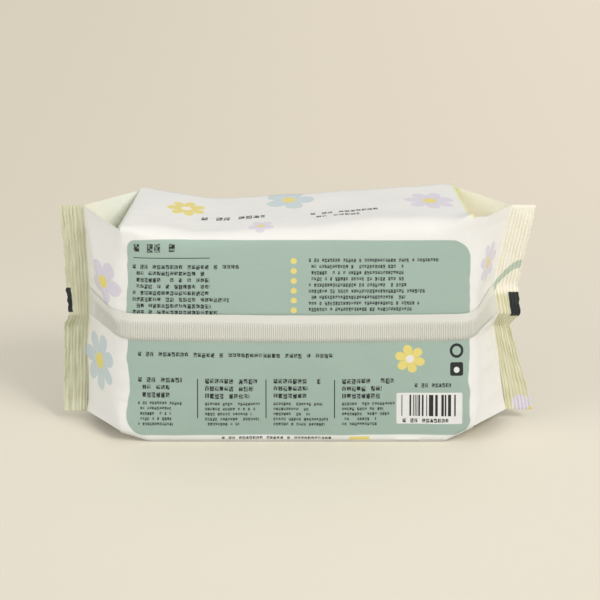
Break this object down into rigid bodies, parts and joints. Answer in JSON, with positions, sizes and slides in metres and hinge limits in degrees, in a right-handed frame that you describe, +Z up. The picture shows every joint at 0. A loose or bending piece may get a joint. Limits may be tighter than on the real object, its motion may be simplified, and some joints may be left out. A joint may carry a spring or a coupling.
{
  "type": "wet wipes pack",
  "caption": "Sealed flow-wrap pack of wet wipes on its long side, with crimped end seals, tucked gussets, a folded back fin and a moulded flip lid.",
  "frame": {"origin": "middle of the flat part of the long side that the pack stands on", "axes": "+X along the pack from end seal to end seal, -Y out of the back panel with the fin seal, +Y out of the front panel with the flip lid, +Z up"},
  "size_m": [0.2135, 0.0704, 0.1026],
  "materials": {
    "printed_film": "soft printed film with a low sheen, sage green field on cream white",
    "lid_plastic": "moulded polypropylene, satin",
    "label_film": "glossy label film"
  },
  "bodies": {
    "pack": {"film_pack": "printed_film", "lid_frame": "lid_plastic", "reseal_label": "label_film"},
    "lid": {"flip_lid": "lid_plastic"}
  },
  "joints": [
    {"name": "lid_hinge", "type": "hinge", "parent": "pack", "child": "lid", "pos_m": [0, 0.03405, 0.0824], "axis": [1, 0, 0], "range_deg": [0, 110]}
  ]
}
